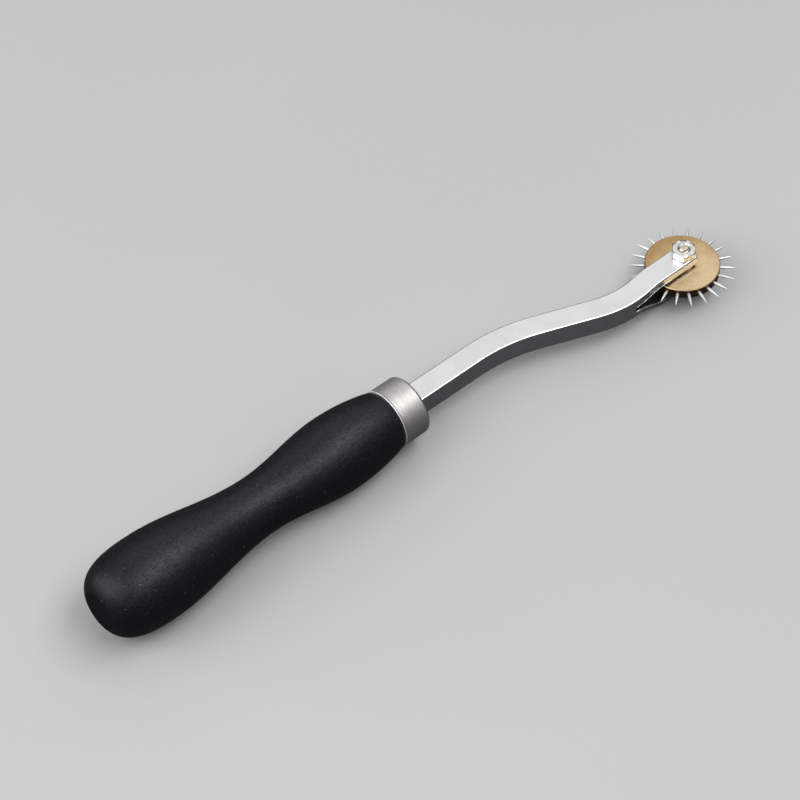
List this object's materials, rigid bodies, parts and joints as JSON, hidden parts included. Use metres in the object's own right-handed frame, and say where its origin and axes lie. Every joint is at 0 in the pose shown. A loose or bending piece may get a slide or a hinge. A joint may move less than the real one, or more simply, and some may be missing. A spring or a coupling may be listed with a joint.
{
  "type": "tracing wheel",
  "caption": "Hand tool with a turned wooden grip, a bent steel fork and a free-turning brass wheel set with needles, rolled along fabric or paper to mark a line of dots.",
  "frame": {"origin": "centre of the flat end of the handle", "axes": "+X along the handle towards the wheel, +Z along the wheel's axle and square to the flat top of the arm, +Y to the left looking along +X"},
  "size_m": [0.2078, 0.0383, 0.0242],
  "materials": {
    "black_wood": "black-stained, satin",
    "brushed_steel": "brushed around its axis",
    "arm_steel": "satin plated",
    "brass": "satin, lightly tarnished",
    "plated_steel": "bright zinc",
    "turned_steel": "turned",
    "needle_steel": "bright ground"
  },
  "bodies": {
    "tool": {"handle": "black_wood", "ferrule": "brushed_steel", "arm": "arm_steel", "axle_screw": "plated_steel", "axle_nut": "plated_steel", "axle_bush": "turned_steel", "upper_spacer": "turned_steel", "lower_spacer": "turned_steel"},
    "wheel": {"wheel_disc": "brass", "needle_01": "needle_steel", "needle_02": "needle_steel", "needle_03": "needle_steel", "needle_04": "needle_steel", "needle_05": "needle_steel", "needle_06": "needle_steel", "needle_07": "needle_steel", "needle_08": "needle_steel", "needle_09": "needle_steel", "needle_10": "needle_steel", "needle_11": "needle_steel", "needle_12": "needle_steel", "needle_13": "needle_steel", "needle_14": "needle_steel", "needle_15": "needle_steel", "needle_16": "needle_steel", "needle_17": "needle_steel", "needle_18": "needle_steel", "needle_19": "needle_steel", "needle_20": "needle_steel", "needle_21": "needle_steel", "needle_22": "needle_steel"}
  },
  "joints": [
    {"name": "wheel_spin", "type": "hinge", "parent": "tool", "child": "wheel", "pos_m": [0.1931, -0.01139, -0.00156], "axis": [0, 0, 1], "continuous": true}
  ]
}
